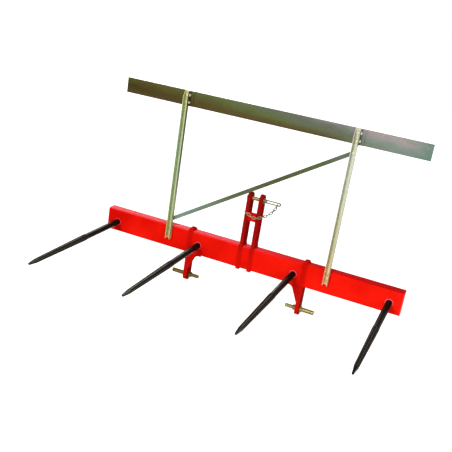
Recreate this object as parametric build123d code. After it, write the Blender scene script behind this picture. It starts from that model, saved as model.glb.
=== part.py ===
from build123d import *
import math
import os

# Four-tine bale spear for a tractor's three-point linkage. All sizes are in millimetres.
# Frame: the origin is midway between the two lower link pins, on their common axis.
# +X runs along the beam, to the right seen from in front of the tine points.
# The tines point along -Y, the tractor stands on the +Y side, and +Z is up.

# Cross beam: a rectangular hollow section laid on edge and closed by welded end caps
beam_length = 1600
beam_height = 120
beam_depth = 60
beam_wall = 5
beam_corner = 10
beam_cap_thick = 5
link_drop = 130                 # from the lower pins' axis up to the beam's underside

# Clearances between pieces
weld_gap = 0.2                  # a piece that is slid over or into another before welding
bolt_slack = 0.5                # on the radius of a bolt hole
thread_slack = 0.1              # on the radius, nut over thread
pin_slack = 0.25                # on the radius, link pin in its hole

# Tines
tine_inner_x = 260
tine_end_inset = 60             # from the beam's ends in to the outer tines' axes
tine_rise = 54                  # from the beam's underside up to the tines' axes
tine_reach = 754                # from the beam's front face to the point
tine_root_d = 32                # at the mouth of the bush
tine_seat_d = 26                # small end of the conical seat
tine_shank_length = 310         # round part in front of the beam
tine_shank_end_d = 30
tine_star_d = 32.5              # over the ridges where the fluted part starts
tine_star_end_d = 22.5            # over the ridges where the point starts
tine_flute_r = 7
tine_flute_depth = 4.2
tine_flute_end_depth = 3.4
tine_flute_runout = 30
tine_point_length = 52
tine_point_square = 16
tine_tip_square = 8
tine_thread_d = 24
tine_thread_end = 7.5           # thread that stands out of the nut

# Tine bushes, nuts and washers
bush_d = 42
bush_front = 3                  # stands proud of the beam's front face
bush_back = 3
bush_thread_land = 10           # plain hole behind the conical seat
tine_washer_d = 44
tine_washer_thick = 4
tine_nut_across = 36
tine_nut_height = 21.5

# Top link mast: two flat bars that the beam passes through
mast_height = 500               # from the lower pins' axis to the top link pin
mast_gap = 44
mast_bar_thick = 17
mast_bar_width = 60
mast_rim = 6                    # steel left round the beam in the bars' windows
mast_shoulder_fillet = 10
mast_spacer_height = 44
mast_spacer_thick = 10
mast_spacer_below_pin = 92      # to the middle of the spacer
mast_spacer_setback = 10        # behind the bars' front edges

# Lower link lugs and their gussets
lug_spacing = 624
lug_thick = 20
lug_width = 60
lug_rim = 6                     # in front of and behind the beam
lug_crown = 12                  # above the beam
lug_crown_slope = 18            # how far the crown's corners are cut back
gusset_thick = 8
gusset_height = 90
gusset_flare = 38               # where the slanted edge would meet the foot
gusset_reach = 64
gusset_foot = 4
gusset_fillet = 26

# Lower link pins and their nuts
link_pin_d = 22
link_barrel_length = 60         # from the collar to the outer end
link_collar_d = 34
link_collar_thick = 4
link_collar_flare = 9           # the cone from the collar down to the barrel
link_pin_chamfer = 2
link_thread_d = 18
link_thread_end = 42            # thread that stands out of the nut
link_nut_across = 27
link_nut_height = 16
lynch_hole_d = 11.5
lynch_hole_inset = 12           # from the pin's outer end

# Top link pin with its wire handle
top_pin_d = 19
top_pin_collar_d = 30
top_pin_collar_thick = 6
top_pin_head = 9                # beyond the collar, where the handle is welded
top_pin_tail = 9.5              # beyond the left-hand bar
top_pin_clip_d = 4
top_pin_clip_inset = 4.5
handle_wire_d = 6
handle_width = 19
handle_length = 75

# Chain from the handle to the staple on the left-hand bar's front edge
chain_wire_d = 4
chain_link_length = 24
chain_link_width = 15
chain_bend_facets = 6           # flats round each end of a link
chain_slack = 0.4
chain_sag = 86                  # from the top link pin down to the chain's lowest point
chain_handle_inset = 19         # from the handle's end back to the chain
chain_front_gap = 3             # between the mast's front edges and the links
staple_wire_d = 5
staple_span = 20
staple_stand = 12
staple_below_pin = 68
staple_off_centre = 2           # to the left of the bar's middle

# Backrest: two channel uprights, a flat rail across their backs and a flat brace
upright_x = 428
upright_width = 25
upright_depth = 25
upright_wall = 3
upright_bend_r = 4
upright_foot_lap = 68           # how far the upright reaches down the beam's face
upright_top_cut = 28            # height of the slanted cut across the flanges' upper ends
rail_length = 1530
rail_height = 75
rail_thick = 6
rail_top = 955                  # above the lower pins' axis
brace_width = 20
brace_thick = 5
brace_above_beam = 36           # from the beam's top up to the brace's lower bolt
brace_below_rail = 39           # from the rail's lower edge down to its upper bolt
cleat_wall = 4
cleat_forward = 23
cleat_side = 22

# Backrest bolts
foot_bolt_d = 10
foot_bolt_across = 16
foot_bolt_head = 6.4
foot_nut_height = 8.4
foot_bolt_low = 17              # above the upright's lower end
foot_bolt_pitch = 34
foot_washer_d = 20
foot_washer_thick = 2
small_bolt_d = 8
small_bolt_across = 13
small_bolt_head = 5.3
small_nut_height = 6.8
cleat_bolt_pitch = 36
bolt_end = 3                    # thread that stands out of a nut

# Places worked out from the sizes above
beam_front = -beam_depth / 2
beam_back = beam_depth / 2
beam_bottom = link_drop
beam_top = link_drop + beam_height
beam_mid = link_drop + beam_height / 2
tine_z = beam_bottom + tine_rise
tine_outer_x = beam_length / 2 - tine_end_inset
mast_bar_x = (mast_gap + mast_bar_thick) / 2
mast_outer_x = mast_gap / 2 + mast_bar_thick
mast_front = -mast_bar_width / 2
lug_x = lug_spacing / 2
lug_end_r = lug_width / 2
upright_bottom = beam_top - upright_foot_lap
upright_front = beam_front - upright_depth
rail_bottom = rail_top - rail_height
brace_low_z = beam_top + brace_above_beam
brace_high_z = rail_bottom - brace_below_rail
handle_leg = (handle_width - handle_wire_d) / 2
top_pin_head_x = mast_outer_x + top_pin_collar_thick + top_pin_head
handle_end_x = top_pin_head_x + handle_length
tine_places = (-tine_outer_x, -tine_inner_x, tine_inner_x, tine_outer_x)
sides = (("left", -1), ("right", 1))


def along_x(sketch, x_low, x_high):
    """Extrude a sketch drawn in (Y, Z) from one X to another."""
    return extrude(Plane.YZ.offset(x_low) * sketch, x_high - x_low)


def along_y(sketch, y_front, y_back):
    """Extrude a sketch drawn in (X, Z) from one Y to another."""
    return extrude(Plane.XZ.offset(-y_back) * sketch, y_back - y_front)


def along_z(sketch, z_low, z_high):
    """Extrude a sketch drawn in (X, Y) from one Z to another."""
    return extrude(Plane.XY.offset(z_low) * sketch, z_high - z_low)


def facing(x, y, z, direction):
    """A plane at a point whose own Z runs along the given direction."""
    return Plane(origin=(x, y, z), z_dir=direction)


def turned(profile):
    """Revolve a list of (radius, height) points about the Z axis."""
    return revolve(make_face(Polyline(*[(r, 0, h) for r, h in profile], close=True)), Axis.Z)


def hexagon(across, height, bore_r=0):
    """A hexagon prism standing on Z = 0, its corners turned off at the upper end."""
    corner_r = across / math.sqrt(3)
    drop = (corner_r - across / 2) * math.tan(math.radians(30))
    prism = along_z(RegularPolygon(corner_r, 6), 0, height)
    crown = turned([(0, 0), (corner_r + 1, 0), (corner_r + 1, height - drop), (corner_r, height - drop),
                    (across / 2, height), (0, height)])
    shape = prism & crown
    if bore_r:
        shape -= Cylinder(bore_r, 3 * height)
    return shape


def hex_bolt(diameter, across, head, length):
    """A bolt along +Z: its head's bearing face at Z = 0 and its thread end at Z = length."""
    tip = diameter * 0.1
    shank = turned([(0, 0), (diameter / 2, 0), (diameter / 2, length - tip),
                    (diameter / 2 - tip, length), (0, length)])
    return mirror(hexagon(across, head), Plane.XY) + shank


def beam_section(grow=0.0):
    """The hollow section's outer outline in (Y, Z), grown by a clearance."""
    return Pos(0, beam_mid) * RectangleRounded(beam_depth + 2 * grow, beam_height + 2 * grow,
                                               beam_corner + grow)


# Beam

def beam_tube():
    bore = Pos(0, beam_mid) * RectangleRounded(beam_depth - 2 * beam_wall, beam_height - 2 * beam_wall,
                                               beam_corner - beam_wall)
    half = beam_length / 2 - beam_cap_thick
    tube = along_x(beam_section() - bore, -half, half)
    bush_hole = Circle(bush_d / 2 + weld_gap)
    for x in tine_places:
        tube -= along_y(Pos(x, tine_z) * bush_hole, 2 * beam_front, 2 * beam_back)
    for x in (-upright_x, upright_x):
        for z in foot_bolt_heights():
            tube -= along_y(Pos(x, z) * Circle(foot_bolt_d / 2 + bolt_slack), 2 * beam_front, 2 * beam_back)
    return tube


def beam_cap(side):
    inner = beam_length / 2 - beam_cap_thick
    low, high = sorted((side * inner, side * beam_length / 2))
    return along_x(beam_section(), low, high)


# Tines

def star_section(over_ridges, flute_depth):
    """A round section with four flutes, which leave the ridges on the diagonals."""
    centre = over_ridges / 2 + tine_flute_r - flute_depth
    section = Circle(over_ridges / 2)
    for x, y in ((centre, 0), (0, centre), (-centre, 0), (0, -centre)):
        section -= Pos(x, y) * Circle(tine_flute_r)
    return section


def tine():
    """A tine along +Z, with Z = 0 in the plane of the beam's front face."""
    seat_end = -(beam_depth + bush_back - bush_thread_land)
    tail = -(beam_depth + bush_back + tine_washer_thick + tine_nut_height + tine_thread_end)
    thread_r = tine_thread_d / 2
    tip = 2
    body = turned([(0, tail), (thread_r - tip, tail), (thread_r, tail + tip), (thread_r, seat_end),
                   (tine_seat_d / 2, seat_end), (tine_root_d / 2, bush_front),
                   (tine_shank_end_d / 2, tine_shank_length), (0, tine_shank_length)])
    point_start = tine_reach - tine_point_length
    stations = ((tine_shank_length, tine_star_d, 0.6),
                (tine_shank_length + tine_flute_runout, tine_star_d, tine_flute_depth),
                (point_start, tine_star_end_d, tine_flute_end_depth),
                (tine_reach, tine_star_end_d - 1, tine_flute_end_depth))
    fluted = loft([Plane.XY.offset(z) * star_section(d, depth) for z, d, depth in stations], ruled=True)
    pyramid = loft([Plane.XY.offset(point_start) * Rectangle(tine_point_square, tine_point_square),
                    Plane.XY.offset(tine_reach) * Rectangle(tine_tip_square, tine_tip_square)], ruled=True)
    sleeve = along_z(Rectangle(2 * tine_star_d, 2 * tine_star_d), 0, point_start)
    return body + (fluted & (sleeve + pyramid))


def tine_bush():
    """The welded bush, with its mouth towards +Z and Z = 0 in the beam's front face."""
    back = -(beam_depth + bush_back)
    seat_end = back + bush_thread_land
    hole_r = tine_thread_d / 2 + bolt_slack
    return turned([(tine_root_d / 2 + weld_gap, bush_front), (bush_d / 2 - 1, bush_front),
                   (bush_d / 2, bush_front - 1), (bush_d / 2, back), (hole_r, back), (hole_r, seat_end),
                   (tine_seat_d / 2 + weld_gap, seat_end)])


def at_tine(x):
    return Plane(origin=(x, beam_front, tine_z), x_dir=(1, 0, 0), z_dir=(0, -1, 0))


def tine_washer(x):
    y = beam_back + bush_back
    ring = Circle(tine_washer_d / 2) - Circle(tine_thread_d / 2 + bolt_slack)
    return along_y(Pos(x, tine_z) * ring, y, y + tine_washer_thick)


def tine_nut(x):
    y = beam_back + bush_back + tine_washer_thick
    return facing(x, y, tine_z, (0, 1, 0)) * hexagon(tine_nut_across, tine_nut_height,
                                                      tine_thread_d / 2 + thread_slack)


# Mast

def mast_bar(side):
    """A flat bar on edge, round at the top, with a window that fits over the beam."""
    collar = Pos(0, beam_mid) * RectangleRounded(beam_depth + 2 * mast_rim, beam_height + 2 * mast_rim,
                                                 mast_rim)
    stem_low = beam_top
    stem = Pos(0, (stem_low + mast_height) / 2) * Rectangle(mast_bar_width, mast_height - stem_low)
    outline = collar + stem + Pos(0, mast_height) * Circle(mast_bar_width / 2)
    outline -= beam_section(weld_gap)
    outline -= Pos(0, mast_height) * Circle(top_pin_d / 2 + pin_slack)
    middle = side * mast_bar_x
    bar = along_x(outline, middle - mast_bar_thick / 2, middle + mast_bar_thick / 2)
    shoulders = (bar.edges().filter_by(Axis.X)
                 .filter_by_position(Axis.Z, beam_top + mast_rim - 0.1, beam_top + mast_rim + 0.1)
                 .filter_by(lambda edge: abs(abs(edge.center().Y) - mast_bar_width / 2) < 0.1))
    return fillet(shoulders, min(mast_shoulder_fillet, beam_depth / 2 + mast_rim - mast_bar_width / 2))


def mast_spacer():
    z = mast_height - mast_spacer_below_pin
    y = mast_front + mast_spacer_setback
    width = mast_gap - 2 * weld_gap
    return along_y(Pos(0, z) * Rectangle(width, mast_spacer_height), y, y + mast_spacer_thick)


# Lower link lugs

def lug(side):
    """A plate that the beam passes through, with a round lower end for the pin."""
    half = beam_depth / 2 + lug_rim
    crown = beam_top + lug_crown
    collar = make_face(Polyline((-half, beam_bottom), (half, beam_bottom), (half, crown - lug_crown_slope),
                                (half - lug_crown_slope, crown), (lug_crown_slope - half, crown),
                                (-half, crown - lug_crown_slope), close=True))
    stem = Pos(0, beam_bottom / 2) * Rectangle(lug_width, beam_bottom)
    outline = collar + stem + Circle(lug_end_r) - beam_section(weld_gap)
    outline -= Circle(link_thread_d / 2 + bolt_slack)
    return along_x(outline, side * lug_x - lug_thick / 2, side * lug_x + lug_thick / 2)


def lug_gusset(side):
    """The flared plate under the beam, in line with the lug's front edge, on its inner side."""
    foot_z = beam_bottom - gusset_foot
    top_z = beam_bottom + beam_corner
    corner = (-gusset_flare, foot_z)
    outline = Polyline((0, beam_bottom - gusset_height), corner, (-gusset_reach, foot_z),
                       (-gusset_reach, top_z), (0, top_z), close=True)
    face = make_face(outline)
    hollow = face.vertices().sort_by(lambda v: math.dist((v.X, v.Y), corner))[0]
    face = fillet(hollow, gusset_fillet)
    if side < 0:
        face = mirror(face, Plane.YZ)
    inner_x = side * (lug_x - lug_thick / 2 - weld_gap)
    front = -lug_width / 2
    plate = along_y(Pos(inner_x, 0) * face, front, front + gusset_thick)
    return plate - along_x(beam_section(weld_gap), -beam_length, beam_length)


def lower_link_pin(side):
    """A pin whose barrel points outward from a flared collar, with a thread through the lug."""
    r = link_pin_d / 2
    thread_r = link_thread_d / 2
    c = link_pin_chamfer
    collar = lug_thick / 2
    barrel = collar + link_collar_thick + link_collar_flare
    end = barrel + link_barrel_length
    tail = -(collar + link_nut_height + link_thread_end)
    shape = turned([(0, tail), (thread_r - c, tail), (thread_r, tail + c), (thread_r, collar),
                    (link_collar_d / 2, collar), (link_collar_d / 2, collar + link_collar_thick),
                    (r, barrel), (r, end - c), (r - c, end), (0, end)])
    shape -= Pos(0, 0, end - lynch_hole_inset) * Rot(90, 0, 0) * Cylinder(lynch_hole_d / 2, 2 * link_pin_d)
    return Plane(origin=(side * lug_x, 0, 0), x_dir=(0, 0, 1), z_dir=(side, 0, 0)) * shape


def link_pin_nut(side):
    """The nut that draws the pin's collar against the lug, on the lug's inner face."""
    place = facing(side * (lug_x - lug_thick / 2), 0, 0, (-side, 0, 0))
    return place * hexagon(link_nut_across, link_nut_height, link_thread_d / 2 + thread_slack)


# Top link pin, handle and chain

def top_link_pin():
    r = top_pin_d / 2
    c = 1.5
    tail = -(mast_outer_x + top_pin_tail)
    collar = mast_outer_x + weld_gap
    shape = turned([(0, tail), (r - c, tail), (r, tail + c), (r, collar), (top_pin_collar_d / 2, collar),
                    (top_pin_collar_d / 2, collar + top_pin_collar_thick),
                    (r, collar + top_pin_collar_thick), (r, top_pin_head_x), (0, top_pin_head_x)])
    clip = Pos(0, 0, tail + top_pin_clip_inset) * Rot(90, 0, 0) * Cylinder(top_pin_clip_d / 2, 2 * top_pin_d)
    return Plane(origin=(0, 0, mast_height), x_dir=(0, 0, 1), z_dir=(1, 0, 0)) * (shape - clip)


def pin_handle():
    """A wire loop in the (X, Z) plane, its two legs welded to the end of the pin."""
    bend_x = handle_end_x - handle_wire_d / 2 - handle_leg
    high = mast_height + handle_leg
    low = mast_height - handle_leg
    start = top_pin_head_x + weld_gap
    upper = Line((start, 0, high), (bend_x, 0, high))
    bend = ThreePointArc((bend_x, 0, high), (bend_x + handle_leg, 0, mast_height), (bend_x, 0, low))
    lower = Line((bend_x, 0, low), (start, 0, low))
    return sweep(Plane(origin=(start, 0, high), z_dir=(1, 0, 0)) * Circle(handle_wire_d / 2),
                 path=Wire([upper.edge(), bend.edge(), lower.edge()]))


def chain_route():
    """The line that the chain hangs in, from the handle's lower leg to the staple."""
    hook = (handle_end_x - chain_handle_inset, 0, mast_height - handle_leg)
    staple = staple_bow()
    front = mast_front - chain_link_width / 2 - chain_front_gap
    low = mast_height - chain_sag
    return Spline(hook, (105, -12, low + 60), (96, -26, low + 45), (84, -35, low + 33), (70, -39, low + 23),
                  (55, front, low + 14), (38, front, low + 5), (20, front, low), (1, front, low + 3),
                  (-15, front, low + 11), staple)


def chain_link():
    """One link lying along X in the (X, Y) plane, its eight-sided wire swept round an oblong."""
    half = (chain_link_length - chain_link_width) / 2
    r = (chain_link_width - chain_wire_d) / 2
    steps = [math.radians(90 - 180 * (i + 0.5) / chain_bend_facets) for i in range(chain_bend_facets)]
    reach = r / math.cos(math.pi / chain_bend_facets / 2)
    right = [(half + reach * math.cos(a), reach * math.sin(a)) for a in steps]
    left = [(-x, -y) for x, y in right]
    path = Polyline((0, r), *right, *left, close=True)
    wire = RegularPolygon(chain_wire_d / 2, 8)
    return sweep(Plane(origin=(0, r, 0), z_dir=(1, 0, 0)) * wire, path=path, transition=Transition.RIGHT)


def chain():
    """Links spaced evenly along the route, each turned a quarter turn from the last.

    The first link stands across the handle's wire and the last lies across the upright staple, so the
    reference direction swings from X at one end of the chain to Z at the other.
    """
    route = chain_route()
    inner_half = chain_link_length / 2 - chain_wire_d - chain_slack
    first = inner_half - handle_wire_d / 2
    last = route.length - (inner_half - staple_wire_d / 2)
    pitch = chain_link_length - 2 * chain_wire_d - chain_slack
    steps = 2 * math.ceil((last - first) / pitch / 2)
    links = []
    for i in range(steps + 1):
        t = (first + (last - first) * i / steps) / route.length
        ahead = route.tangent_at(t)
        swing = Vector(1 - i / steps, 0, -i / steps)
        across = (swing - ahead * swing.dot(ahead)).normalized()
        normal = across if i % 2 == 0 else ahead.cross(across)
        links.append(Plane(origin=route.position_at(t), x_dir=ahead, z_dir=normal) * chain_link())
    return links


def staple_bow():
    """The middle of the staple's bow, which the last link hooks round."""
    return (-mast_bar_x - staple_off_centre, mast_front - staple_stand + staple_wire_d / 2,
            mast_height - staple_below_pin)


def chain_staple():
    """A wire staple welded to the front edge of the left-hand bar."""
    x, y, z = staple_bow()
    r = (staple_span - staple_wire_d) / 2
    root = mast_front - weld_gap
    corner = staple_wire_d
    path = FilletPolyline((x, root, z + r), (x, y, z + r), (x, y, z - r), (x, root, z - r), radius=corner)
    return sweep(Plane(origin=(x, root, z + r), z_dir=(0, -1, 0)) * Circle(staple_wire_d / 2), path=path)


# Backrest

def foot_bolt_heights():
    low = upright_bottom + foot_bolt_low
    return (low, low + foot_bolt_pitch)


def cleat_bolt_heights():
    middle = rail_top - rail_height / 2
    return (middle - cleat_bolt_pitch / 2, middle + cleat_bolt_pitch / 2)


def upright(side):
    """A cold-rolled channel with its web against the beam and its flanges forward."""
    outer = RectangleRounded(upright_width, 2 * upright_depth, upright_bend_r)
    inner = RectangleRounded(upright_width - 2 * upright_wall, 2 * (upright_depth - upright_wall),
                             max(upright_bend_r - upright_wall, 0.5))
    front_half = Pos(0, -upright_depth) * Rectangle(2 * upright_width, 2 * upright_depth)
    section = Pos(side * upright_x, upright_front) * (outer - inner - front_half)
    shape = along_z(section, upright_bottom, rail_top)
    cut = make_face(Polyline((upright_front, rail_top - upright_top_cut), (upright_front - 1, rail_top + 1),
                             (beam_front - upright_wall - upright_bend_r, rail_top + 1),
                             (beam_front - upright_wall - upright_bend_r, rail_top), close=True))
    shape -= along_x(cut, side * upright_x - upright_width, side * upright_x + upright_width)
    for z in foot_bolt_heights():
        shape -= along_y(Pos(side * upright_x, z) * Circle(foot_bolt_d / 2 + bolt_slack),
                         beam_front - upright_wall - 1, beam_front + 1)
    shape -= along_y(Pos(side * upright_x, brace_end_z(side)) * Circle(small_bolt_d / 2 + bolt_slack),
                     beam_front - upright_wall - 1, beam_front + 1)
    flange_x = side * upright_x + upright_width / 2
    for z in cleat_bolt_heights():
        shape -= along_x(Pos(cleat_bolt_y(), z) * Circle(small_bolt_d / 2 + bolt_slack),
                         flange_x - upright_wall - 1, flange_x + 1)
    return shape


def top_rail():
    middle = rail_top - rail_height / 2
    return along_y(Pos(0, middle) * Rectangle(rail_length, rail_height), beam_front, beam_front + rail_thick)


def brace_end_z(side):
    return brace_high_z if side > 0 else brace_low_z


def diagonal_brace():
    """A flat bar with round ends, bolted behind the uprights' webs."""
    run = 2 * upright_x
    rise = brace_high_z - brace_low_z
    span = math.hypot(run, rise)
    outline = SlotCenterToCenter(span, brace_width)
    for x in (-span / 2, span / 2):
        outline -= Pos(x, 0) * Circle(small_bolt_d / 2 + bolt_slack)
    tilt = math.degrees(math.atan2(rise, run))
    placed = Pos(0, (brace_low_z + brace_high_z) / 2) * Rot(0, 0, tilt) * outline
    return along_y(placed, beam_front, beam_front + brace_thick)


def cleat_bolt_y():
    return beam_front - upright_depth / 2


def cleat_x(side):
    """The face of the upright's right-hand flange, where the cleat lies."""
    return side * upright_x + upright_width / 2


def rail_cleat(side):
    """An angle welded to the rail, beside the upright's right-hand flange."""
    x = cleat_x(side)
    leg = Pos(x + cleat_wall / 2, beam_front - cleat_forward / 2) * Rectangle(cleat_wall, cleat_forward)
    foot = Pos(x + cleat_side / 2, beam_front - cleat_wall / 2) * Rectangle(cleat_side, cleat_wall)
    shape = along_z(leg + foot, rail_bottom, rail_top)
    for z in cleat_bolt_heights():
        shape -= along_x(Pos(cleat_bolt_y(), z) * Circle(small_bolt_d / 2 + bolt_slack), x - 1,
                         x + cleat_wall + 1)
    return shape


# Fasteners

def foot_bolt(x, z):
    web = beam_front - upright_wall
    length = upright_wall + beam_depth + foot_washer_thick + foot_nut_height + bolt_end
    place = Plane(origin=(x, web, z), x_dir=(0, 0, 1), z_dir=(0, 1, 0))
    return place * hex_bolt(foot_bolt_d, foot_bolt_across, foot_bolt_head, length)


def foot_washer(x, z):
    ring = Circle(foot_washer_d / 2) - Circle(foot_bolt_d / 2 + bolt_slack)
    return along_y(Pos(x, z) * ring, beam_back, beam_back + foot_washer_thick)


def foot_nut(x, z):
    return facing(x, beam_back + foot_washer_thick, z, (0, 1, 0)) * hexagon(
        foot_bolt_across, foot_nut_height, foot_bolt_d / 2 + thread_slack)


def cleat_bolt(side, z):
    x = cleat_x(side) + cleat_wall
    length = cleat_wall + upright_wall + small_nut_height + bolt_end
    return facing(x, cleat_bolt_y(), z, (-1, 0, 0)) * hex_bolt(small_bolt_d, small_bolt_across,
                                                              small_bolt_head, length)


def cleat_nut(side, z):
    x = cleat_x(side) - upright_wall
    return facing(x, cleat_bolt_y(), z, (-1, 0, 0)) * hexagon(small_bolt_across, small_nut_height,
                                                             small_bolt_d / 2 + thread_slack)


def brace_bolt(side):
    length = upright_wall + brace_thick + small_nut_height + bolt_end
    place = facing(side * upright_x, beam_front - upright_wall, brace_end_z(side), (0, 1, 0))
    return place * hex_bolt(small_bolt_d, small_bolt_across, small_bolt_head, length)


def brace_nut(side):
    place = facing(side * upright_x, beam_front + brace_thick, brace_end_z(side), (0, 1, 0))
    return place * hexagon(small_bolt_across, small_nut_height, small_bolt_d / 2 + thread_slack)


def group(shapes):
    """Several separate solids that are kept in one node."""
    return Compound([solid for shape in shapes for solid in shape.solids()])


nodes = {"beam_tube": beam_tube(), "mast_spacer": mast_spacer(), "top_link_pin": top_link_pin(),
         "pin_handle": pin_handle(), "chain_staple": chain_staple(), "chain_links": group(chain()),
         "top_rail": top_rail(), "diagonal_brace": diagonal_brace()}
for name, side in sides:
    nodes["beam_cap_" + name] = beam_cap(side)
    nodes["mast_bar_" + name] = mast_bar(side)
    nodes["lug_" + name] = lug(side)
    nodes["lug_gusset_" + name] = lug_gusset(side)
    nodes["lower_link_pin_" + name] = lower_link_pin(side)
    nodes["upright_" + name] = upright(side)
    nodes["rail_cleat_" + name] = rail_cleat(side)
nodes["link_pin_nuts"] = group(link_pin_nut(side) for name, side in sides)

for number, x in enumerate(tine_places, start=1):
    nodes["tine_%d" % number] = at_tine(x) * tine()
    nodes["tine_bush_%d" % number] = at_tine(x) * tine_bush()
    nodes["tine_nut_%d" % number] = tine_nut(x)
nodes["tine_washers"] = group(tine_washer(x) for x in tine_places)

foot_places = [(side * upright_x, z) for name, side in sides for z in foot_bolt_heights()]
cleat_places = [(side, z) for name, side in sides for z in cleat_bolt_heights()]
nodes["foot_bolts"] = group(foot_bolt(x, z) for x, z in foot_places)
nodes["foot_washers"] = group(foot_washer(x, z) for x, z in foot_places)
nodes["foot_nuts"] = group(foot_nut(x, z) for x, z in foot_places)
nodes["cleat_bolts"] = group(cleat_bolt(side, z) for side, z in cleat_places)
nodes["cleat_nuts"] = group(cleat_nut(side, z) for side, z in cleat_places)
nodes["brace_bolts"] = group(brace_bolt(side) for name, side in sides)
nodes["brace_nuts"] = group(brace_nut(side) for name, side in sides)

os.makedirs("parts", exist_ok=True)
for name, shape in nodes.items():
    export_step(shape, os.path.join("parts", name + ".step"))
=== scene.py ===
import bpy
import numpy as np
from mathutils import Matrix, Vector


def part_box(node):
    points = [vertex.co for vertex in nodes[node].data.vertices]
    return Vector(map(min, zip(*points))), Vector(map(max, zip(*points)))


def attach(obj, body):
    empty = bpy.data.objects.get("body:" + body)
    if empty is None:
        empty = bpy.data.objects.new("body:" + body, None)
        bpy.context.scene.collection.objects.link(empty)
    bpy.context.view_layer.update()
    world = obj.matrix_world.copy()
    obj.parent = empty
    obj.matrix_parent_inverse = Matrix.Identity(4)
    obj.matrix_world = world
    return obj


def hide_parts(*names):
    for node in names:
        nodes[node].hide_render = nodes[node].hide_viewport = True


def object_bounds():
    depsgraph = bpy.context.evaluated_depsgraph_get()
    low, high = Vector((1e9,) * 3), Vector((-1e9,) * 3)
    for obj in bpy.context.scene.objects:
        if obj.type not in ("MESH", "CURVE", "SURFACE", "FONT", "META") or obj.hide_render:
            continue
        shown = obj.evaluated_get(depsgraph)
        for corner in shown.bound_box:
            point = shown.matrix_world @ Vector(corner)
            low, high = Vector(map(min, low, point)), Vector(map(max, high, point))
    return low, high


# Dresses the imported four-tine bale spear: weld beads, screw threads, drawn chain links and finishes.
# Lengths here are metres, in the frame of the CAD part: +X along the beam, tines along -Y, +Z up.

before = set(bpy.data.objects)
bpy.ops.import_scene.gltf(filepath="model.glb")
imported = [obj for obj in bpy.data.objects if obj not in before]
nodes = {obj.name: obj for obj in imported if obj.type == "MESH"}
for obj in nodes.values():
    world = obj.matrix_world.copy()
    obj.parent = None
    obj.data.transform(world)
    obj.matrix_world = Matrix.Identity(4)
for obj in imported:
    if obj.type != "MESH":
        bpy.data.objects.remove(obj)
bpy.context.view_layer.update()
scene = bpy.context.scene
MM = 0.001

# Sizes of the part, as its CAD source has them
BEAM_END = 0.8                                  # X of the beam's right-hand end
BEAM_CORNER = 10 * MM                           # outer radius
UPRIGHT_FOOT, UPRIGHT_TOP = 0.18, 0.954         # Z
LINK_NUT_HEIGHT = 16 * MM
LINK_LENGTH, LINK_WIDTH, LINK_WIRE = 24 * MM, 15 * MM, 4 * MM
STAPLE_WIRE, HANDLE_WIRE = 2.5 * MM, 3 * MM     # radius

# Radius and pitch of the threads, the plain end of a tine or link pin, and a bolt's end past its nut
M24, M18, M10, M8 = (12 * MM, 3 * MM), (9 * MM, 2.5 * MM), (5 * MM, 1.5 * MM), (4 * MM, 1.25 * MM)
THREAD_CHAMFER = 2 * MM
BOLT_STAND_OUT = 2.4 * MM

# Y where painted light comes in inside an upright, behind its lips, and where a tine's shine and ridge
# highlight grow along its first stretch
LIP_FRONT, LIP_BACK = -0.052, -0.044
TINE_NEAR, TINE_FAR = -0.08, -0.48

# Radius of the weld beads, and their ripple along the seam
PLATE_BEAD, TOE_BEAD, SPACER_BEAD, CLEAT_BEAD = 3.5 * MM, 2.5 * MM, 3 * MM, 2.6 * MM
BUSH_BEAD, HANDLE_BEAD, STAPLE_BEAD = 2.4 * MM, 1.3 * MM, 1.1 * MM
PLATE_RIPPLE, BUSH_RIPPLE, WIRE_RIPPLE = 4 * MM, 3 * MM, 2 * MM


# Shader nodes

# A Mix node's sockets for colours, which share their names with those for other values
UNDER, OVER, MIXED = 6, 7, 2


def linear(hex_colour):
    """The linear colour for an sRGB hex value."""
    srgb = np.array([int(hex_colour[i:i + 2], 16) for i in (1, 3, 5)]) / 255
    rgb = np.where(srgb <= 0.04045, srgb / 12.92, ((srgb + 0.055) / 1.055) ** 2.4)
    return (*rgb.tolist(), 1.0)


def per_mm(size):
    """The texture scale that gives features of that many millimetres."""
    return 1000 / size


def add(tree, kind, inputs=None, stops=None, **settings):
    """Adds one node.

    Settings are its own properties, inputs are values or sockets to link, and stops a ramp's colours.
    """
    node = tree.nodes.new("ShaderNode" + kind)
    for name, value in settings.items():
        setattr(node, name, value)
    for name, value in (inputs or {}).items():
        if isinstance(value, bpy.types.NodeSocket):
            tree.links.new(value, node.inputs[name])
        else:
            node.inputs[name].default_value = value
    if stops:
        ramp = node.color_ramp.elements
        while len(ramp) < len(stops):
            ramp.new(0.5)
        for element, (position, colour) in zip(ramp, stops):
            element.position = position
            element.color = linear(colour)
    return node


def new_material(name, **sockets):
    """A node material with the shader's own sockets set, and its coordinates in metres."""
    made = bpy.data.materials.new(name)
    made.use_nodes = True
    tree = made.node_tree
    shader = tree.nodes["Principled BSDF"]
    for socket, value in sockets.items():
        shader.inputs[socket.replace("_", " ")].default_value = value
    return made, tree, shader, add(tree, "TexCoord").outputs["Object"]


def facing(tree, axis):
    """How far a face turns to +X or +Z: none up to 0.5 of its normal's share, full from 0.9."""
    normal = add(tree, "SeparateXYZ", {"Vector": add(tree, "NewGeometry").outputs["Normal"]})
    return add(tree, "MapRange", {"Value": normal.outputs[axis], "From Min": 0.5,
                                  "From Max": 0.9}).outputs["Result"]


def edge_share(tree, radius, most):
    """How near a corner a point lies: the turn between the rounded and the flat normal, up to a share."""
    rounded = add(tree, "Bevel", {"Radius": radius}, samples=4)
    flat = add(tree, "NewGeometry")
    turn = add(tree, "VectorMath", {0: rounded.outputs["Normal"], 1: flat.outputs["Normal"]},
               operation="DOT_PRODUCT")
    return add(tree, "MapRange", {"Value": turn.outputs["Value"], "From Min": 0.995, "From Max": 0.8,
                                  "To Min": 0.0, "To Max": most}).outputs["Result"]


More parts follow.
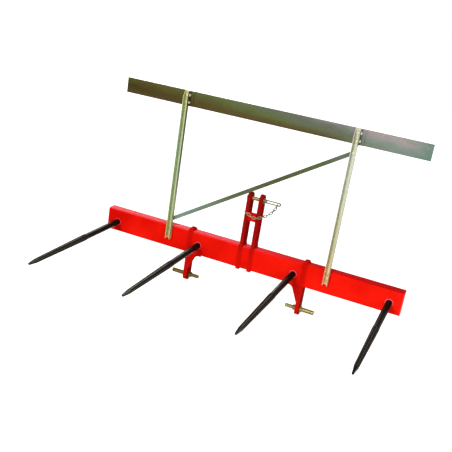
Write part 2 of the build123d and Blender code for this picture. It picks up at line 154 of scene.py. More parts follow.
def coated(tree, colour, coats):
    """A colour with coats laid over it in turn, each a share of 0 to 1 and a tint."""
    for share, tint in coats:
        colour = add(tree, "Mix", {0: share, UNDER: colour, OVER: tint}, data_type="RGBA").outputs[MIXED]
    return colour


def red_enamel(name, deep, full, edge_light, gloss=0.16, shine=0.028, top=None, aloft=None, painted_flank_shade=None):
    """Gloss enamel sprayed on hot-rolled steel.

    It gives the eye a saturated, wet-looking red whose depth drifts slowly over each plate and grows
    lighter along +X, a line of painted edge light along each corner, and an orange peel that breaks up
    the reflections. The top tints are painted reflection and shade on faces that look up, running along
    X; the aloft tint comes in between two heights, and the flank tint is painted shade on faces that look
    to +X. The shine is low because this studio is white all round, which the real enamel's surroundings
    were not.
    """
    made, tree, shader, place = new_material(name, IOR=1.5, Specular_IOR_Level=shine,
                                             Specular_Tint=linear("#ff6a50"))
    axes = add(tree, "SeparateXYZ", {"Vector": place}).outputs
    # A pass of the spray gun is about 230 mm wide, and the film's depth drifts from one to the next.
    drift = add(tree, "TexNoise", {"Vector": place, "Scale": per_mm(230), "Detail": 3.0})
    along = add(tree, "MapRange", {"Value": axes["X"], "From Min": -BEAM_END, "From Max": BEAM_END,
                                   "To Min": -0.2, "To Max": 0.16})
    depth = add(tree, "Math", {0: drift.outputs["Fac"], 1: along.outputs["Result"]}, operation="ADD")
    film = add(tree, "ValToRGB", {"Fac": depth.outputs["Value"]}, stops=[(0.3, deep), (0.66, full)])
    coats = []
    if aloft:
        low, high, tint = aloft
        height = add(tree, "MapRange", {"Value": axes["Z"], "From Min": low, "From Max": high})
        coats.append((height.outputs["Result"], linear(tint)))
    # The flank tint is painted shade on faces that look to +X.
    if painted_flank_shade:
        coats.append((facing(tree, "X"), linear(painted_flank_shade)))
    # The top tints are painted reflection and shade on faces that look up, running along X.
    if top:
        run = add(tree, "MapRange", {"Value": axes["X"], "From Min": -BEAM_END, "From Max": BEAM_END})
        painted_top_light = add(tree, "ValToRGB", {"Fac": run.outputs["Result"]}, stops=top)
        coats.append((facing(tree, "Z"), painted_top_light.outputs["Color"]))
    # The edge light is a painted highlight where its tint is paler than the body and painted shade where it
    # is darker. Its real width, about 2 mm, is under a pixel, so it is drawn 4 mm wide.
    coats.append((edge_share(tree, 4 * MM, 0.4), linear(edge_light)))
    tree.links.new(coated(tree, film.outputs["Color"], coats), shader.inputs["Base Color"])
    # Orange peel is 2 to 3 mm across on such a part and is drawn at 11 mm so that it shows.
    peel = add(tree, "TexNoise", {"Vector": place, "Scale": per_mm(11), "Detail": 2.0, "Roughness": 0.4})
    bump = add(tree, "Bump", {"Height": peel.outputs["Fac"], "Distance": 0.12 * MM, "Strength": 0.5})
    tree.links.new(bump.outputs["Normal"], shader.inputs["Normal"])
    # Overspray dulls the gloss in patches of about 70 mm.
    haze = add(tree, "TexNoise", {"Vector": place, "Scale": per_mm(70), "Detail": 4.0})
    rough = add(tree, "MapRange", {"Value": haze.outputs["Fac"], "From Min": 0.3, "From Max": 0.7,
                                   "To Min": gloss, "To Max": gloss + 0.12})
    tree.links.new(rough.outputs["Result"], shader.inputs["Roughness"])
    return made


def black_forging(name, dark, mid, warm, ridge_highlight):
    """Drop-forged steel, hot-dipped in black lacquer.

    It gives the eye a satin near-black drawn out along the tine by the rollers, warmer where the lacquer
    is thin, olive grey on the ridges that is partly rubbed wear and partly a painted highlight, with the
    shallow pits that scale leaves in a forging. Towards +X the shine is lower and less of the ridge
    highlight shows, which is painted shade; towards the beam they fall off as well.
    """
    made, tree, shader, place = new_material(name, IOR=1.5, Specular_Tint=linear("#dcd4a4"))
    axes = add(tree, "SeparateXYZ", {"Vector": place}).outputs
    # Less shine and ridge highlight towards +X is painted shade on the tines to that side.
    across = add(tree, "MapRange", {"Value": axes["X"], "From Min": -BEAM_END, "From Max": BEAM_END,
                                    "To Min": 1.0, "To Max": 0.15})
    reach = add(tree, "MapRange", {"Value": axes["Y"], "From Min": TINE_NEAR, "From Max": TINE_FAR,
                                   "To Min": 0.5, "To Max": 1.05})
    painted_shade_falloff = add(tree, "Math", {0: across.outputs["Result"], 1: reach.outputs["Result"]},
               operation="MULTIPLY")
    shine = add(tree, "Math", {0: painted_shade_falloff.outputs["Value"], 1: 0.08}, operation="MULTIPLY")
    tree.links.new(shine.outputs["Value"], shader.inputs["Specular IOR Level"])
    # The rollers' marks are about 13 mm wide and eight times as long.
    drawn = add(tree, "Mapping", {"Vector": place, "Scale": (1.0, 0.12, 1.0)})
    streak = add(tree, "TexNoise", {"Vector": drawn.outputs["Vector"], "Scale": per_mm(13), "Detail": 6.0})
    body = add(tree, "ValToRGB", {"Fac": streak.outputs["Fac"]},
               stops=[(0.3, dark), (0.55, mid), (0.78, warm)])
    # The ridge highlight, painted light with some rubbed wear, is about 2 mm wide and is drawn 4 mm wide.
    ridge_highlight_share = add(tree, "Math", {0: edge_share(tree, 4 * MM, 0.9), 1: painted_shade_falloff.outputs["Value"]},
               operation="MULTIPLY")
    colour = add(tree, "Mix", {0: ridge_highlight_share.outputs["Value"], UNDER: body.outputs["Color"],
                               OVER: linear(ridge_highlight)}, data_type="RGBA")
    tree.links.new(colour.outputs[MIXED], shader.inputs["Base Color"])
    rough = add(tree, "MapRange", {"Value": streak.outputs["Fac"], "From Min": 0.3, "From Max": 0.75,
                                   "To Min": 0.2, "To Max": 0.4})
    tree.links.new(rough.outputs["Result"], shader.inputs["Roughness"])
    # Scale pits are 1 to 3 mm across and are drawn at 6 mm.
    pits = add(tree, "TexVoronoi", {"Vector": place, "Scale": per_mm(6)}, feature="SMOOTH_F1")
    both = add(tree, "Math", {0: pits.outputs["Distance"], 1: streak.outputs["Fac"]}, operation="ADD")
    bump = add(tree, "Bump", {"Height": both.outputs["Value"], "Distance": 0.35 * MM, "Strength": 0.6})
    tree.links.new(bump.outputs["Normal"], shader.inputs["Normal"])
    return made


def yellow_zinc(name, axis, low, high, stops, inside=None, side=None, painted_shade_from=-1.0, hem=None,
                patches=(), lean=(0.0, 0.0, 0.0), grain=(1.0, 1.0, 1.0), metallic=0.3, rough=0.36,
                wander=0.1):
    """Zinc plate with a yellow chromate film, on cold-rolled or turned steel.

    It gives the eye a thin-film iridescence: olive, straw, rose and sea green follow one another along
    the piece as the film thickens, wander in soft clouds drawn out by the rolling, and lie over a fine
    grain; where a lean is given they also shift with height, which is painted reflection, lighter towards
    the top. The inside tints are painted light in a channel, behind its lips, that lifts the shade there.
    Outer flanks that face +X beyond a place along X get the side tints, which are painted shade. The hem
    tint fades upwards from a low edge and ends at a place along X.
    Patches come in along X, each from one place to another, up to a share. A lean is its share, with the
    middle height and half the height of the piece, and a hem is its edge, height, end along X and tint.
    """
    made, tree, shader, place = new_material(name, Metallic=metallic, Specular_IOR_Level=0.1)
    axes = add(tree, "SeparateXYZ", {"Vector": place}).outputs
    run = add(tree, "MapRange", {"Value": axes[axis], "From Min": low, "From Max": high})
    leaning, middle, half = lean
    across = add(tree, "MapRange", {"Value": axes["Z"], "From Min": middle - half,
                                    "From Max": middle + half, "To Min": -leaning, "To Max": leaning})
    # The film's clouds are about 45 mm wide, and longer where the grain is drawn out.
    laid = add(tree, "Mapping", {"Vector": place, "Scale": grain})
    cloud = add(tree, "TexNoise", {"Vector": laid.outputs["Vector"], "Scale": per_mm(45), "Detail": 3.0})
    shift = add(tree, "MapRange", {"Value": cloud.outputs["Fac"], "From Min": 0.25, "From Max": 0.75,
                                   "To Min": -wander, "To Max": wander}, clamp=False)
    film = add(tree, "Math", {0: run.outputs["Result"], 1: shift.outputs["Result"]}, operation="ADD")
    film = add(tree, "Math", {0: film.outputs["Value"], 1: across.outputs["Result"]}, operation="ADD",
               use_clamp=True)
    tint = add(tree, "ValToRGB", {"Fac": film.outputs["Value"]}, stops=stops)
    coats = []
    # The inside tints are painted light that lifts the shade inside a channel.
    if inside:
        inside_light = add(tree, "ValToRGB", {"Fac": film.outputs["Value"]}, stops=inside)
        behind = add(tree, "MapRange", {"Value": axes["Y"], "From Min": LIP_FRONT, "From Max": LIP_BACK})
        coats.append((behind.outputs["Result"], inside_light.outputs["Color"]))
    # The side tints are painted shade on outer flanks that face +X.
    if side:
        painted_flank_shade = add(tree, "ValToRGB", {"Fac": film.outputs["Value"]}, stops=side)
        outer = add(tree, "Math", {0: axes["X"], 1: painted_shade_from}, operation="GREATER_THAN")
        share = add(tree, "Math", {0: facing(tree, "X"), 1: outer.outputs["Value"]}, operation="MULTIPLY")
        coats.append((share.outputs["Value"], painted_flank_shade.outputs["Color"]))
    if hem:
        edge, height, until, brown = hem
        low_edge = add(tree, "MapRange", {"Value": axes["Z"], "From Min": edge + height, "From Max": edge})
        left_of = add(tree, "MapRange", {"Value": axes["X"], "From Min": until, "From Max": until - 0.15})
        share = add(tree, "Math", {0: low_edge.outputs["Result"], 1: left_of.outputs["Result"]},
                    operation="MULTIPLY")
        coats.append((share.outputs["Value"], linear(brown)))
    ragged = add(tree, "Math", {0: axes["X"], 1: shift.outputs["Result"]}, operation="ADD")
    for start, end, most, patch in patches:
        share = add(tree, "MapRange", {"Value": ragged.outputs["Value"], "From Min": start,
                                       "From Max": end, "To Max": most})
        coats.append((share.outputs["Result"], linear(patch)))
    # Rolling and turning marks are a few tenths of a millimetre apart and are drawn at 5 mm.
    marks = add(tree, "TexNoise", {"Vector": laid.outputs["Vector"], "Scale": per_mm(5), "Detail": 3.0})
    shade = add(tree, "MapRange", {"Value": marks.outputs["Fac"], "From Min": 0.3, "From Max": 0.7,
                                   "To Min": 0.9, "To Max": 1.08})
    colour = add(tree, "Mix", {0: 1.0, UNDER: coated(tree, tint.outputs["Color"], coats),
                               OVER: shade.outputs["Result"]}, data_type="RGBA", blend_type="MULTIPLY")
    tree.links.new(colour.outputs[MIXED], shader.inputs["Base Color"])
    gloss = add(tree, "MapRange", {"Value": marks.outputs["Fac"], "From Min": 0.3, "From Max": 0.7,
                                   "To Min": rough - 0.07, "To Max": rough + 0.1})
    tree.links.new(gloss.outputs["Result"], shader.inputs["Roughness"])
    bump = add(tree, "Bump", {"Height": marks.outputs["Fac"], "Distance": 0.08 * MM, "Strength": 0.4})
    tree.links.new(bump.outputs["Normal"], shader.inputs["Normal"])
    return made


# The beam's top tints are a painted reflection, pink at the left, and painted shade, dark red at the right.
beam_red = red_enamel("gloss_enamel_beam", "#cc0c04", "#f01a0c", "#ff3a38", gloss=0.1, shine=0.003,
                      top=[(0.0, "#ff484e"), (0.5, "#f83440"), (0.7, "#e01c14"), (0.85, "#cc0e0c"),
                           (1.0, "#c40c0c")])
# The mast's and lugs' flank tints are painted shade on faces that look to +X.
mast_red = red_enamel("gloss_enamel_mast", "#cc0c04", "#e2140a", "#c82420", shine=0.0002,
                      aloft=(0.12, 0.34, "#8c0e0a"), painted_flank_shade="#ac0a06")
# A darker copy of the beam's enamel: painted shade on the lugs under the beam and tines, also used for the
# spacer.
lug_red_painted_shade = red_enamel("gloss_enamel_lug_painted_shade", "#b40a06", "#d0140a", "#e42018", shine=0.0002, painted_flank_shade="#a80a08")
# The bushes are painted pink all over: a painted highlight round each tine's root, over red enamel like the
# beam's.
bush_painted_highlight = red_enamel("gloss_enamel_bush_painted_highlight", "#e02830", "#ff5868", "#ff7080")
weld_red = red_enamel("gloss_enamel_weld", "#cc0c04", "#e4160a", "#f02818", gloss=0.2, shine=0.007)
tine_black = black_forging("lacquered_forging", "#060503", "#110f08", "#2a2513", "#706c52")

# The rail's lean makes it lighter and greener towards its top: painted reflection of the surroundings.
rail_zinc = yellow_zinc("yellow_zinc_rail", "X", -0.765, 0.765,
                        [(0.0, "#352e0a"), (0.12, "#423a14"), (0.25, "#4a441e"), (0.38, "#4b4e28"),
                         (0.5, "#50582e"), (0.62, "#525c42"), (0.74, "#585a4c"), (0.84, "#5e6658"),
                         (0.92, "#7a6c72"), (1.0, "#8a7674")],
                        lean=(0.2, 0.9175, 0.0375), grain=(0.3, 1, 1), wander=0.07,
                        hem=(0.88, 0.034, 0.46, "#4a3a1e"),
                        patches=[(0.3, 0.6, 0.3, "#90a498"), (0.65, 0.76, 0.9, "#567266")])
# At the foot of each upright, beside the beam, the tints turn tan and orange: painted reflection of the red
# beam over the film's own colour.
left_zinc = yellow_zinc("yellow_zinc_left_upright", "Z", UPRIGHT_FOOT, UPRIGHT_TOP,
                        [(0.0, "#a4b068"), (0.15, "#a0b874"), (0.3, "#a8b884"), (0.6, "#aabc8c"),
                         (1.0, "#b0b878")],
                        inside=[(0.0, "#e8d8a0"), (0.1, "#c4cc90"), (0.3, "#bccaa2"), (0.6, "#b8c8a6"),
                                (1.0, "#c0c084")],
                        side=[(0.0, "#e0bc80"), (0.08, "#a8ac80"), (0.25, "#9ca87c"), (0.42, "#66703e"),
                              (0.6, "#46522a"), (0.9, "#343e14")],
                        painted_shade_from=-0.425, grain=(1, 1, 0.1), metallic=0.1)
right_zinc = yellow_zinc("yellow_zinc_right_upright", "Z", UPRIGHT_FOOT, UPRIGHT_TOP,
                         [(0.0, "#c8a478"), (0.12, "#c4b084"), (0.25, "#c0bc94"), (0.45, "#c0c2a4"),
                          (0.85, "#c4c8b0"), (1.0, "#b8b488")],
                         inside=[(0.0, "#fcd2a0"), (0.15, "#d8c898"), (0.3, "#c8c4a2"), (0.5, "#cccdb2"),
                                 (0.7, "#d0d2c2"), (1.0, "#c8c9b4")],
                         side=[(0.0, "#b8a884"), (0.3, "#a8a284"), (0.6, "#ccceb4"), (1.0, "#ccd0b8")],
                         painted_shade_from=0.43, grain=(1, 1, 0.1), metallic=0.1)
brace_zinc = yellow_zinc("yellow_zinc_brace", "X", -0.44, 0.44,
                         [(0.0, "#789080"), (0.12, "#6c8070"), (0.32, "#566244"), (0.6, "#464c2c"),
                          (0.85, "#4c5634"), (1.0, "#566656")], grain=(0.1, 1, 0.3))
pin_zinc = yellow_zinc("yellow_zinc_pin", "X", -0.4, 0.4,
                       [(0.0, "#5c4c20"), (0.2, "#665624"), (0.6, "#746a34"), (0.8, "#84784a"),
                        (1.0, "#867c48")], grain=(1, 0.2, 0.2), metallic=0.6, rough=0.3)
top_pin_zinc = yellow_zinc("yellow_zinc_top_pin", "X", -0.06, 0.13,
                           [(0.0, "#6a6438"), (0.3, "#8c7c50"), (0.55, "#6c6e48"), (0.8, "#70785a"),
                            (1.0, "#484a38")], metallic=0.4, rough=0.34)
chain_zinc = yellow_zinc("yellow_zinc_chain", "X", -0.05, 0.11,
                         [(0.0, "#b87c60"), (0.35, "#b08468"), (0.55, "#7a7a5c"), (1.0, "#767860")],
                         metallic=0.35)
bolt_zinc = yellow_zinc("yellow_zinc_bolts", "Z", UPRIGHT_FOOT, UPRIGHT_TOP,
                        [(0.0, "#c09c68"), (0.5, "#c0b878"), (1.0, "#d8d4bc")], metallic=0.5, rough=0.3)
nut_zinc = yellow_zinc("yellow_zinc_tine_nuts", "X", -BEAM_END, BEAM_END,
                       [(0.0, "#b0aa8a"), (0.5, "#bcb696"), (1.0, "#b4ae90")], metallic=0.6, rough=0.3)

finishes = {
    beam_red: ["beam_tube", "beam_cap_left", "beam_cap_right"],
    mast_red: ["mast_bar_left", "mast_bar_right", "chain_staple"],
    lug_red_painted_shade: ["lug_left", "lug_right", "lug_gusset_left", "lug_gusset_right", "mast_spacer"],
    bush_painted_highlight: ["tine_bush_1", "tine_bush_2", "tine_bush_3", "tine_bush_4"],
    tine_black: ["tine_1", "tine_2", "tine_3", "tine_4"],
    nut_zinc: ["tine_nut_1", "tine_nut_2", "tine_nut_3", "tine_nut_4", "tine_washers"],
    rail_zinc: ["top_rail", "rail_cleat_left", "rail_cleat_right"],
    left_zinc: ["upright_left"],
    right_zinc: ["upright_right"],
    brace_zinc: ["diagonal_brace"],
    pin_zinc: ["lower_link_pin_left", "lower_link_pin_right", "link_pin_nuts"],
    top_pin_zinc: ["top_link_pin", "pin_handle"],
    chain_zinc: ["chain_links"],
    bolt_zinc: ["foot_bolts", "foot_washers", "foot_nuts", "cleat_bolts", "cleat_nuts", "brace_bolts",
                "brace_nuts"],
}
for finish, names in finishes.items():
    for name in names:
        nodes[name].data.materials.clear()
        nodes[name].data.materials.append(finish)


# Surfaces

def unit(vectors):
    """Vectors divided by their lengths."""
    return vectors / np.linalg.norm(vectors, axis=-1, keepdims=True)


def resample(points, step, closed=False):
    """Points at even arc length along a polyline, about a step apart.

    Each coordinate is interpolated over the length run from the first point.
    """
    points = np.vstack([points, points[:1]]) if closed else np.asarray(points, float)
    length = np.concatenate([[0], np.cumsum(np.linalg.norm(np.diff(points, axis=0), axis=1))])
    count = max(int(round(length[-1] / step)), 4)
    at = np.linspace(0, length[-1], count, endpoint=not closed)
    return np.stack([np.interp(at, length, points[:, k]) for k in range(3)], axis=1)


def carried(path, radius, reference, closed=False, sides=10):
    """A round profile carried along a path.

    The profile's two axes are the reference direction made square to the path, and its cross product
    with the path's direction. The radius is one number or an array over (path, turn).
    """
    ahead = unit(np.roll(path, -1, 0) - np.roll(path, 1, 0)) if closed else unit(np.gradient(path, axis=0))
    across = np.broadcast_to(np.asarray(reference, float), path.shape)
    across = unit(across - np.sum(across * ahead, axis=1, keepdims=True) * ahead)
    up = np.cross(ahead, across)
    turn = np.linspace(0, 2 * np.pi, sides, endpoint=False)[None, :, None]
    radius = np.broadcast_to(radius, (len(path), sides))[..., None]
    return path[:, None] + radius * (np.cos(turn) * across[:, None] + np.sin(turn) * up[:, None])


def quads(rows, sides, closed, first):
    """Faces of a grid that closes round its sides: each quad joins two rings, and open ends get a cap."""
    last = rows if closed else rows - 1
    ring = (np.arange(last)[:, None] * sides, (np.arange(last)[:, None] + 1) % rows * sides)
    j, k = np.arange(sides)[None, :], (np.arange(sides)[None, :] + 1) % sides
    faces = np.stack([ring[0] + j, ring[0] + k, ring[1] + k, ring[1] + j], axis=-1).reshape(-1, 4) + first
    caps = [] if closed else [(first + np.arange(sides)[::-1]).tolist(),
                              (first + (rows - 1) * sides + np.arange(sides)).tolist()]
    return faces.tolist() + caps


def make_piece(name, surfaces, finish):
    """One object from a list of (ring points, closed) surfaces, with its place in its mesh.

    It rides on the part.
    """
    points, faces, first = [], [], 0
    for rings, closed in surfaces:
        rows, sides = rings.shape[:2]
        faces += quads(rows, sides, closed, first)
        points.append(rings.reshape(-1, 3))
        first += rows * sides
    mesh = bpy.data.meshes.new(name)
    mesh.from_pydata(np.concatenate(points).tolist(), [], faces)
    mesh.polygons.foreach_set("use_smooth", np.array([len(face) == 4 for face in faces]))
    mesh.materials.append(finish)
    piece = bpy.data.objects.new(name, mesh)
    scene.collection.objects.link(piece)
    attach(piece, "root")
    return piece


def bead(points, size, reference, closed=False, ripple=PLATE_RIPPLE):
    """A weld bead.

    Its radius swells once per ripple as the absolute sine of the distance run, lags round the sides so
    that the ripples read as crescents, wavers slowly with two sines, and falls to a blunt point at an
    open end.
    """
    path = resample(points, ripple / 4, closed)
    sides = 10
    run = np.arange(len(path))[:, None] * ripple / 4
    turn = np.linspace(0, 2 * np.pi, sides, endpoint=False)[None, :]
    swell = np.abs(np.sin(np.pi * (run / ripple + 0.3 * np.cos(2 * turn))))
    waver = 0.05 * np.sin(run / (9 * MM)) + 0.04 * np.sin(run / (23 * MM) + 1)
    radius = size * (0.86 + 0.14 * swell + waver)
    if not closed:
        radius = radius * np.sqrt(np.clip(np.minimum(run, run[-1] - run) / size, 0.02, 1))
    return carried(path, radius, reference, closed, sides), closed


def circle(centre, radius, axis, count=48):
    """Points of a circle about an axis X or Y: cosine and sine of the turn on the two other axes."""
    turn = np.linspace(0, 2 * np.pi, count, endpoint=False)
    zero = np.zeros(count)
    ring = {"X": (zero, np.cos(turn), np.sin(turn)), "Y": (np.cos(turn), zero, np.sin(turn))}[axis]
    return np.asarray(centre, float) + radius * np.stack(ring, axis=1)


def beam_outline(x, grow):
    """The beam's outline at one X: a rectangle of 60 x 120 mm with round corners, grown by a few tenths.

    Each corner is a quarter circle about its own centre, and the straight sides join the four arcs.
    """
    low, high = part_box("beam_tube")
    corner = BEAM_CORNER
    turn = np.linspace(0, np.pi / 2, 8)[None, :] + np.pi / 2 * np.arange(4)[:, None]
    sign = np.array([(1, 1), (-1, 1), (-1, -1), (1, -1)])
    y = sign[:, :1] * (high.y - corner) + (corner + grow) * np.cos(turn)
    middle, half = (low.z + high.z) / 2, (high.z - low.z) / 2
    z = middle + sign[:, 1:] * (half - corner) + (corner + grow) * np.sin(turn)
    return np.stack([np.full(y.size, x), y.ravel(), z.ravel()], axis=1)


def thread(start, direction, radius, pitch, length, sides=28):
    """A screw thread's crests.

    The radius over (length, turn) is the rod's own plus a triangle wave of the distance run less the
    turn's share of the pitch, so each crest climbs one pitch a turn, and it sinks into the rod at both
    ends.
    """
    rows = int(length / pitch * 8) + 2
    run = np.linspace(0, length, rows)[:, None]
    share = np.arange(sides)[None, :] / sides
    wave = np.abs((run / pitch - share) % 1 * 2 - 1)
    ends = np.clip(np.minimum(run, length - run) / (0.6 * pitch), 0, 1)
    height = (wave * 0.3 * pitch - 0.12 * pitch) * ends - 0.05 * pitch * (1 - ends)
    direction = np.asarray(direction, float)
    path = np.asarray(start, float) + run * direction
    reference = (0, 0, 1) if abs(direction[2]) < 0.5 else (1, 0, 0)
    return carried(path, radius + height, reference, False, sides), False


def solids_of(node):
    """The separate solids of a CAD node, as lists of points.

    Corners that share a place are one point. The points of each triangle take the lowest label among
    them, again and again, until each solid has one label.
    """
    mesh = nodes[node].data
    points = np.zeros(len(mesh.vertices) * 3)
    mesh.vertices.foreach_get("co", points)
    points = points.reshape(-1, 3)
    corners = np.zeros(len(mesh.loops), int)
    mesh.loops.foreach_get("vertex_index", corners)
    places, same = np.unique(np.round(points, 6), axis=0, return_inverse=True)
    triangles = same.ravel()[corners].reshape(-1, 3)
    label = np.arange(len(places))
    for _ in range(len(places)):
        lowest = label[triangles].min(axis=1)
        spread = label.copy()
        np.minimum.at(spread, triangles.ravel(), np.repeat(lowest, 3))
        spread = spread[spread]
        if (spread == label).all():
            break
        label = spread
    return [places[label == value] for value in np.unique(label)]


# Weld beads, each with its middle a few tenths of a millimetre off the corner that it fills

def window_beads(names):
    """A closed bead round the beam on each face of the plates that the beam passes through."""
    seat = PLATE_BEAD * 0.2
    return [bead(beam_outline(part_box(name)[side].x + out * seat, seat), PLATE_BEAD, (1, 0, 0), closed=True)
            for name in names for side, out in ((0, -1), (1, 1))]


def wire_beads(node, wire, centre, size, seat, axis, reference):
    """A closed bead round the end of each of the two legs of a bent wire, one above the other."""
    low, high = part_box(node)
    return [bead(circle((*centre, z), wire + seat, axis), size, reference, closed=True, ripple=WIRE_RIPPLE)
            for z in (low.z + wire, high.z - wire)]


make_piece("mast_welds", window_beads(("mast_bar_left", "mast_bar_right")), weld_red)
make_piece("lug_welds", window_beads(("lug_left", "lug_right")), weld_red)

beam_low, beam_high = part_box("beam_tube")
end_gap = 3 * MM                            # a bead stops short of a plate's end
gusset_beads = []
for gusset, lug, side in (("lug_gusset_left", "lug_left", 1), ("lug_gusset_right", "lug_right", -1)):
    low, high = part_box(gusset)
    lug_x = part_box(lug)[1 if side > 0 else 0].x
    seam_x = lug_x + side * 0.8 * MM
    foot_x = lug_x + side * (high.x - low.x)
    back, front = high.y + 0.8 * MM, low.y - 0.2 * MM
    under = beam_low.z - 0.6 * MM
    toe = beam_low.z + end_gap
    gusset_beads += [
        bead([(seam_x, back, low.z + end_gap), (seam_x, back, beam_low.z)], PLATE_BEAD, (1, 0, 0)),
        bead([(lug_x, back, under), (foot_x, back, under)], PLATE_BEAD, (0, 1, 0)),
        bead([(lug_x, front, toe), (foot_x, front, toe)], TOE_BEAD, (0, 1, 0))]
make_piece("gusset_welds", gusset_beads, weld_red)

bush_beads = []
for number in (1, 2, 3, 4):
    low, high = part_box("tine_bush_%d" % number)
    x, z = (low.x + high.x) / 2, (low.z + high.z) / 2
    radius = (high.x - low.x) / 2 + 0.6 * MM
    bush_beads += [bead(circle((x, y, z), radius, "Y"), BUSH_BEAD, (0, 1, 0), closed=True,
                        ripple=BUSH_RIPPLE) for y in (beam_low.y - 0.4 * MM, beam_high.y + 0.4 * MM)]
make_piece("bush_welds", bush_beads, weld_red)

low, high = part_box("mast_spacer")
spacer_beads = [bead([(x, y, low.z + 1 * MM), (x, y, high.z - 1 * MM)], SPACER_BEAD, (0, 1, 0))
                for x in (low.x, high.x) for y in (low.y - 0.5 * MM, high.y + 0.5 * MM)]
make_piece("spacer_welds", spacer_beads, weld_red)

low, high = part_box("chain_staple")
staple_foot = ((low.x + high.x) / 2, high.y - 0.3 * MM)
make_piece("staple_welds", wire_beads("chain_staple", STAPLE_WIRE, staple_foot, STAPLE_BEAD, 0.3 * MM,
                                      "Y", (0, 1, 0)), weld_red)
handle_foot = (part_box("pin_handle")[0].x + 0.2 * MM, 0)
make_piece("handle_welds", wire_beads("pin_handle", HANDLE_WIRE, handle_foot, HANDLE_BEAD, -0.2 * MM,
                                      "X", (1, 0, 0)), top_pin_zinc)

cleat_beads = []
start, stop = 2 * MM, 26 * MM               # how far from a cleat's end a bead begins and ends
for name in ("rail_cleat_left", "rail_cleat_right"):
    low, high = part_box(name)
    x, y = high.x + 0.5 * MM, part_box("top_rail")[0].y - 0.5 * MM
    cleat_beads += [bead([(x, y, bottom), (x, y, top)], CLEAT_BEAD, (0, 1, 0), ripple=BUSH_RIPPLE)
                    for bottom, top in ((low.z + start, low.z + stop),
                                        (high.z - stop, high.z - start))]
make_piece("cleat_welds", cleat_beads, rail_zinc)


# Screw threads

def past_nuts(node, direction, radius, pitch, stand_out):
    """A thread that comes out of each nut of a node, from the middle of the face that the direction meets.

    The link pins' nuts lie on the inner sides of their lugs, so there the direction turns to the middle.
    """
    made = []
    for points in solids_of(node):
        low, high = points.min(0), points.max(0)
        way = np.array(direction, float) * (-np.sign(low[0]) if node == "link_pin_nuts" else 1)
        face = (low + high) / 2 + way * np.abs((high - low) @ np.abs(way)) / 2
        made.append(thread(face, way, radius, pitch, stand_out))
    return made


tine_threads = []
for number in (1, 2, 3, 4):
    nut = "tine_nut_%d" % number
    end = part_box("tine_%d" % number)[1].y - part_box(nut)[1].y
    tine_threads += past_nuts(nut, (0, 1, 0), *M24, end - THREAD_CHAMFER)
make_piece("tine_threads", tine_threads, tine_black)

pin_end = (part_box("lug_right")[0].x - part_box("lower_link_pin_right")[0].x) - LINK_NUT_HEIGHT
make_piece("link_pin_threads", past_nuts("link_pin_nuts", (1, 0, 0), *M18, pin_end - THREAD_CHAMFER),
           pin_zinc)

bolt_threads = []
for node, direction, size in (("foot_nuts", (0, 1, 0), M10), ("brace_nuts", (0, 1, 0), M8),
                              ("cleat_nuts", (-1, 0, 0), M8)):
    bolt_threads += past_nuts(node, direction, *size, BOLT_STAND_OUT)
make_piece("bolt_threads", bolt_threads, bolt_zinc)


# Chain

def link_rings(centre, along, normal):
    """One link: a round wire carried round an oblong of two half circles joined by straight sides.

    The middle of one straight side swells by a sixth as a bell-shaped function of the distance from the
    butt weld that closes the link, which reaches over about a wire's radius.
    """
    r, half = (LINK_WIDTH - LINK_WIRE) / 2, (LINK_LENGTH - LINK_WIDTH) / 2
    step, sides, weld_reach = 1.6 * MM, 12, 1.6 * MM
    turn = np.linspace(-np.pi / 2, np.pi / 2, 13)
    oblong = np.concatenate([np.stack([half + r * np.cos(turn), r * np.sin(turn)], axis=1),
                             np.stack([-half - r * np.cos(turn), -r * np.sin(turn)], axis=1)])
    flat = resample(np.column_stack([oblong, np.zeros(len(oblong))]), step, closed=True)
    path = centre + flat @ np.stack([along, np.cross(normal, along), normal])
    off_weld = np.linalg.norm(flat - (0, r, 0), axis=1)[:, None]
    radius = LINK_WIRE / 2 * (1 + 0.16 * np.exp(-(off_weld / weld_reach) ** 2))
    return carried(path, radius, normal, True, sides), True


links = []
for points in solids_of("chain_links"):
    # A link's long axis is the direction of its points' greatest spread and its normal that of the least.
    centre = points.mean(0)
    _, _, axes = np.linalg.svd(points - centre, full_matrices=False)
    links.append(link_rings(centre, axes[0], axes[2]))
chain = make_piece("chain", links, chain_zinc)
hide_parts("chain_links")


# Floor, light and camera

def seen_directly(tree):
    """1 for a ray from the camera or a mirror-like face, and 0 for one that only lights."""
    ray = add(tree, "LightPath").outputs
    return add(tree, "Math", {0: ray["Is Camera Ray"], 1: ray["Is Glossy Ray"]},
               operation="MAXIMUM").outputs["Value"]


def floor_finish(lift):
    """Matt white paper.

    It holds the object's soft shadow, and camera and mirror rays see it lifted towards white.
    """
    made = bpy.data.materials.new("studio_paper")
    made.use_nodes = True
    tree = made.node_tree
    tree.nodes.remove(tree.nodes["Principled BSDF"])
    paper = add(tree, "BsdfDiffuse", {"Color": linear("#e4e4e4")})
    lifted = add(tree, "Math", {0: seen_directly(tree), 1: lift}, operation="MULTIPLY")
    glow = add(tree, "Emission", {"Color": (1, 1, 1, 1), "Strength": lifted.outputs["Value"]})
    both = add(tree, "AddShader", {0: paper.outputs["BSDF"], 1: glow.outputs["Emission"]})
    tree.links.new(both.outputs["Shader"], tree.nodes["Material Output"].inputs["Surface"])
    return made


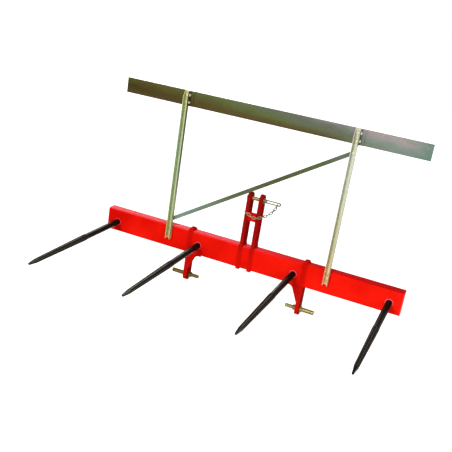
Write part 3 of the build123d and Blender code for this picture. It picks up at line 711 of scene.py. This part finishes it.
floor_radius, floor_sides, floor_gap = 9, 96, 0.5 * MM
rim = np.linspace(0, 2 * np.pi, floor_sides, endpoint=False)
ground = np.full(floor_sides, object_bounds()[0].z - floor_gap)
paper = bpy.data.meshes.new("floor")
disc = np.stack([floor_radius * np.cos(rim), floor_radius * np.sin(rim), ground], axis=1)
paper.from_pydata(disc.tolist(), [], [list(range(floor_sides))])
paper.materials.append(floor_finish(lift=0.78))
floor = bpy.data.objects.new("floor", paper)
scene.collection.objects.link(floor)

# The background is white to the eye, and the light that it sheds on the object is weaker.
world_light = 0.34
world = bpy.data.worlds.new("studio")
scene.world = world
world.use_nodes = True
sky = world.node_tree
level = add(sky, "MapRange", {"Value": seen_directly(sky), "To Min": world_light, "To Max": 1.0})
sky.links.new(level.outputs["Result"], sky.nodes["Background"].inputs["Strength"])
sky.nodes["Background"].inputs["Color"].default_value = (1, 1, 1, 1)


def soft_box(name, place, target, power, size):
    """A square softbox of that width, aimed at a point and unseen by the camera."""
    data = bpy.data.lights.new(name, "AREA")
    data.shape = "SQUARE"
    data.size = size
    data.energy = power
    lamp = bpy.data.objects.new(name, data)
    lamp.location = place
    lamp.rotation_euler = (Vector(target) - Vector(place)).to_track_quat("-Z", "Y").to_euler()
    lamp.visible_camera = False
    scene.collection.objects.link(lamp)


soft_box("key", place=(-1.5, -8.1, 4.6), target=(0, -0.1, 0.4), power=595, size=3.0)
soft_box("fill", place=(5.5, -5.0, 2.6), target=(0, -0.1, 0.3), power=130, size=2.6)
soft_box("back", place=(-3.8, 7.2, 3.6), target=(0, 0, 0.3), power=260, size=3.2)

# The camera's place, turn and lens come from a least-squares fit of known corners to the photograph.
focal_pixels, picture_pixels, sensor_mm = 702.748, 452, 36
right, up = (0.9103049, 0.3864240, 0.1483963), (-0.2602333, 0.2554548, 0.9311399)
back = (0.3219063, -0.8862389, 0.3331022)
view = bpy.data.cameras.new("camera")
view.sensor_width = sensor_mm
view.lens = focal_pixels / picture_pixels * sensor_mm
view.clip_end = 50
camera = bpy.data.objects.new("camera", view)
turned = Matrix((right, up, back)).transposed().to_4x4()
turned.translation = (1.011637, -3.159501, 1.506125)
camera.matrix_world = turned
scene.collection.objects.link(camera)
scene.camera = camera
scene.view_settings.view_transform = "Standard"
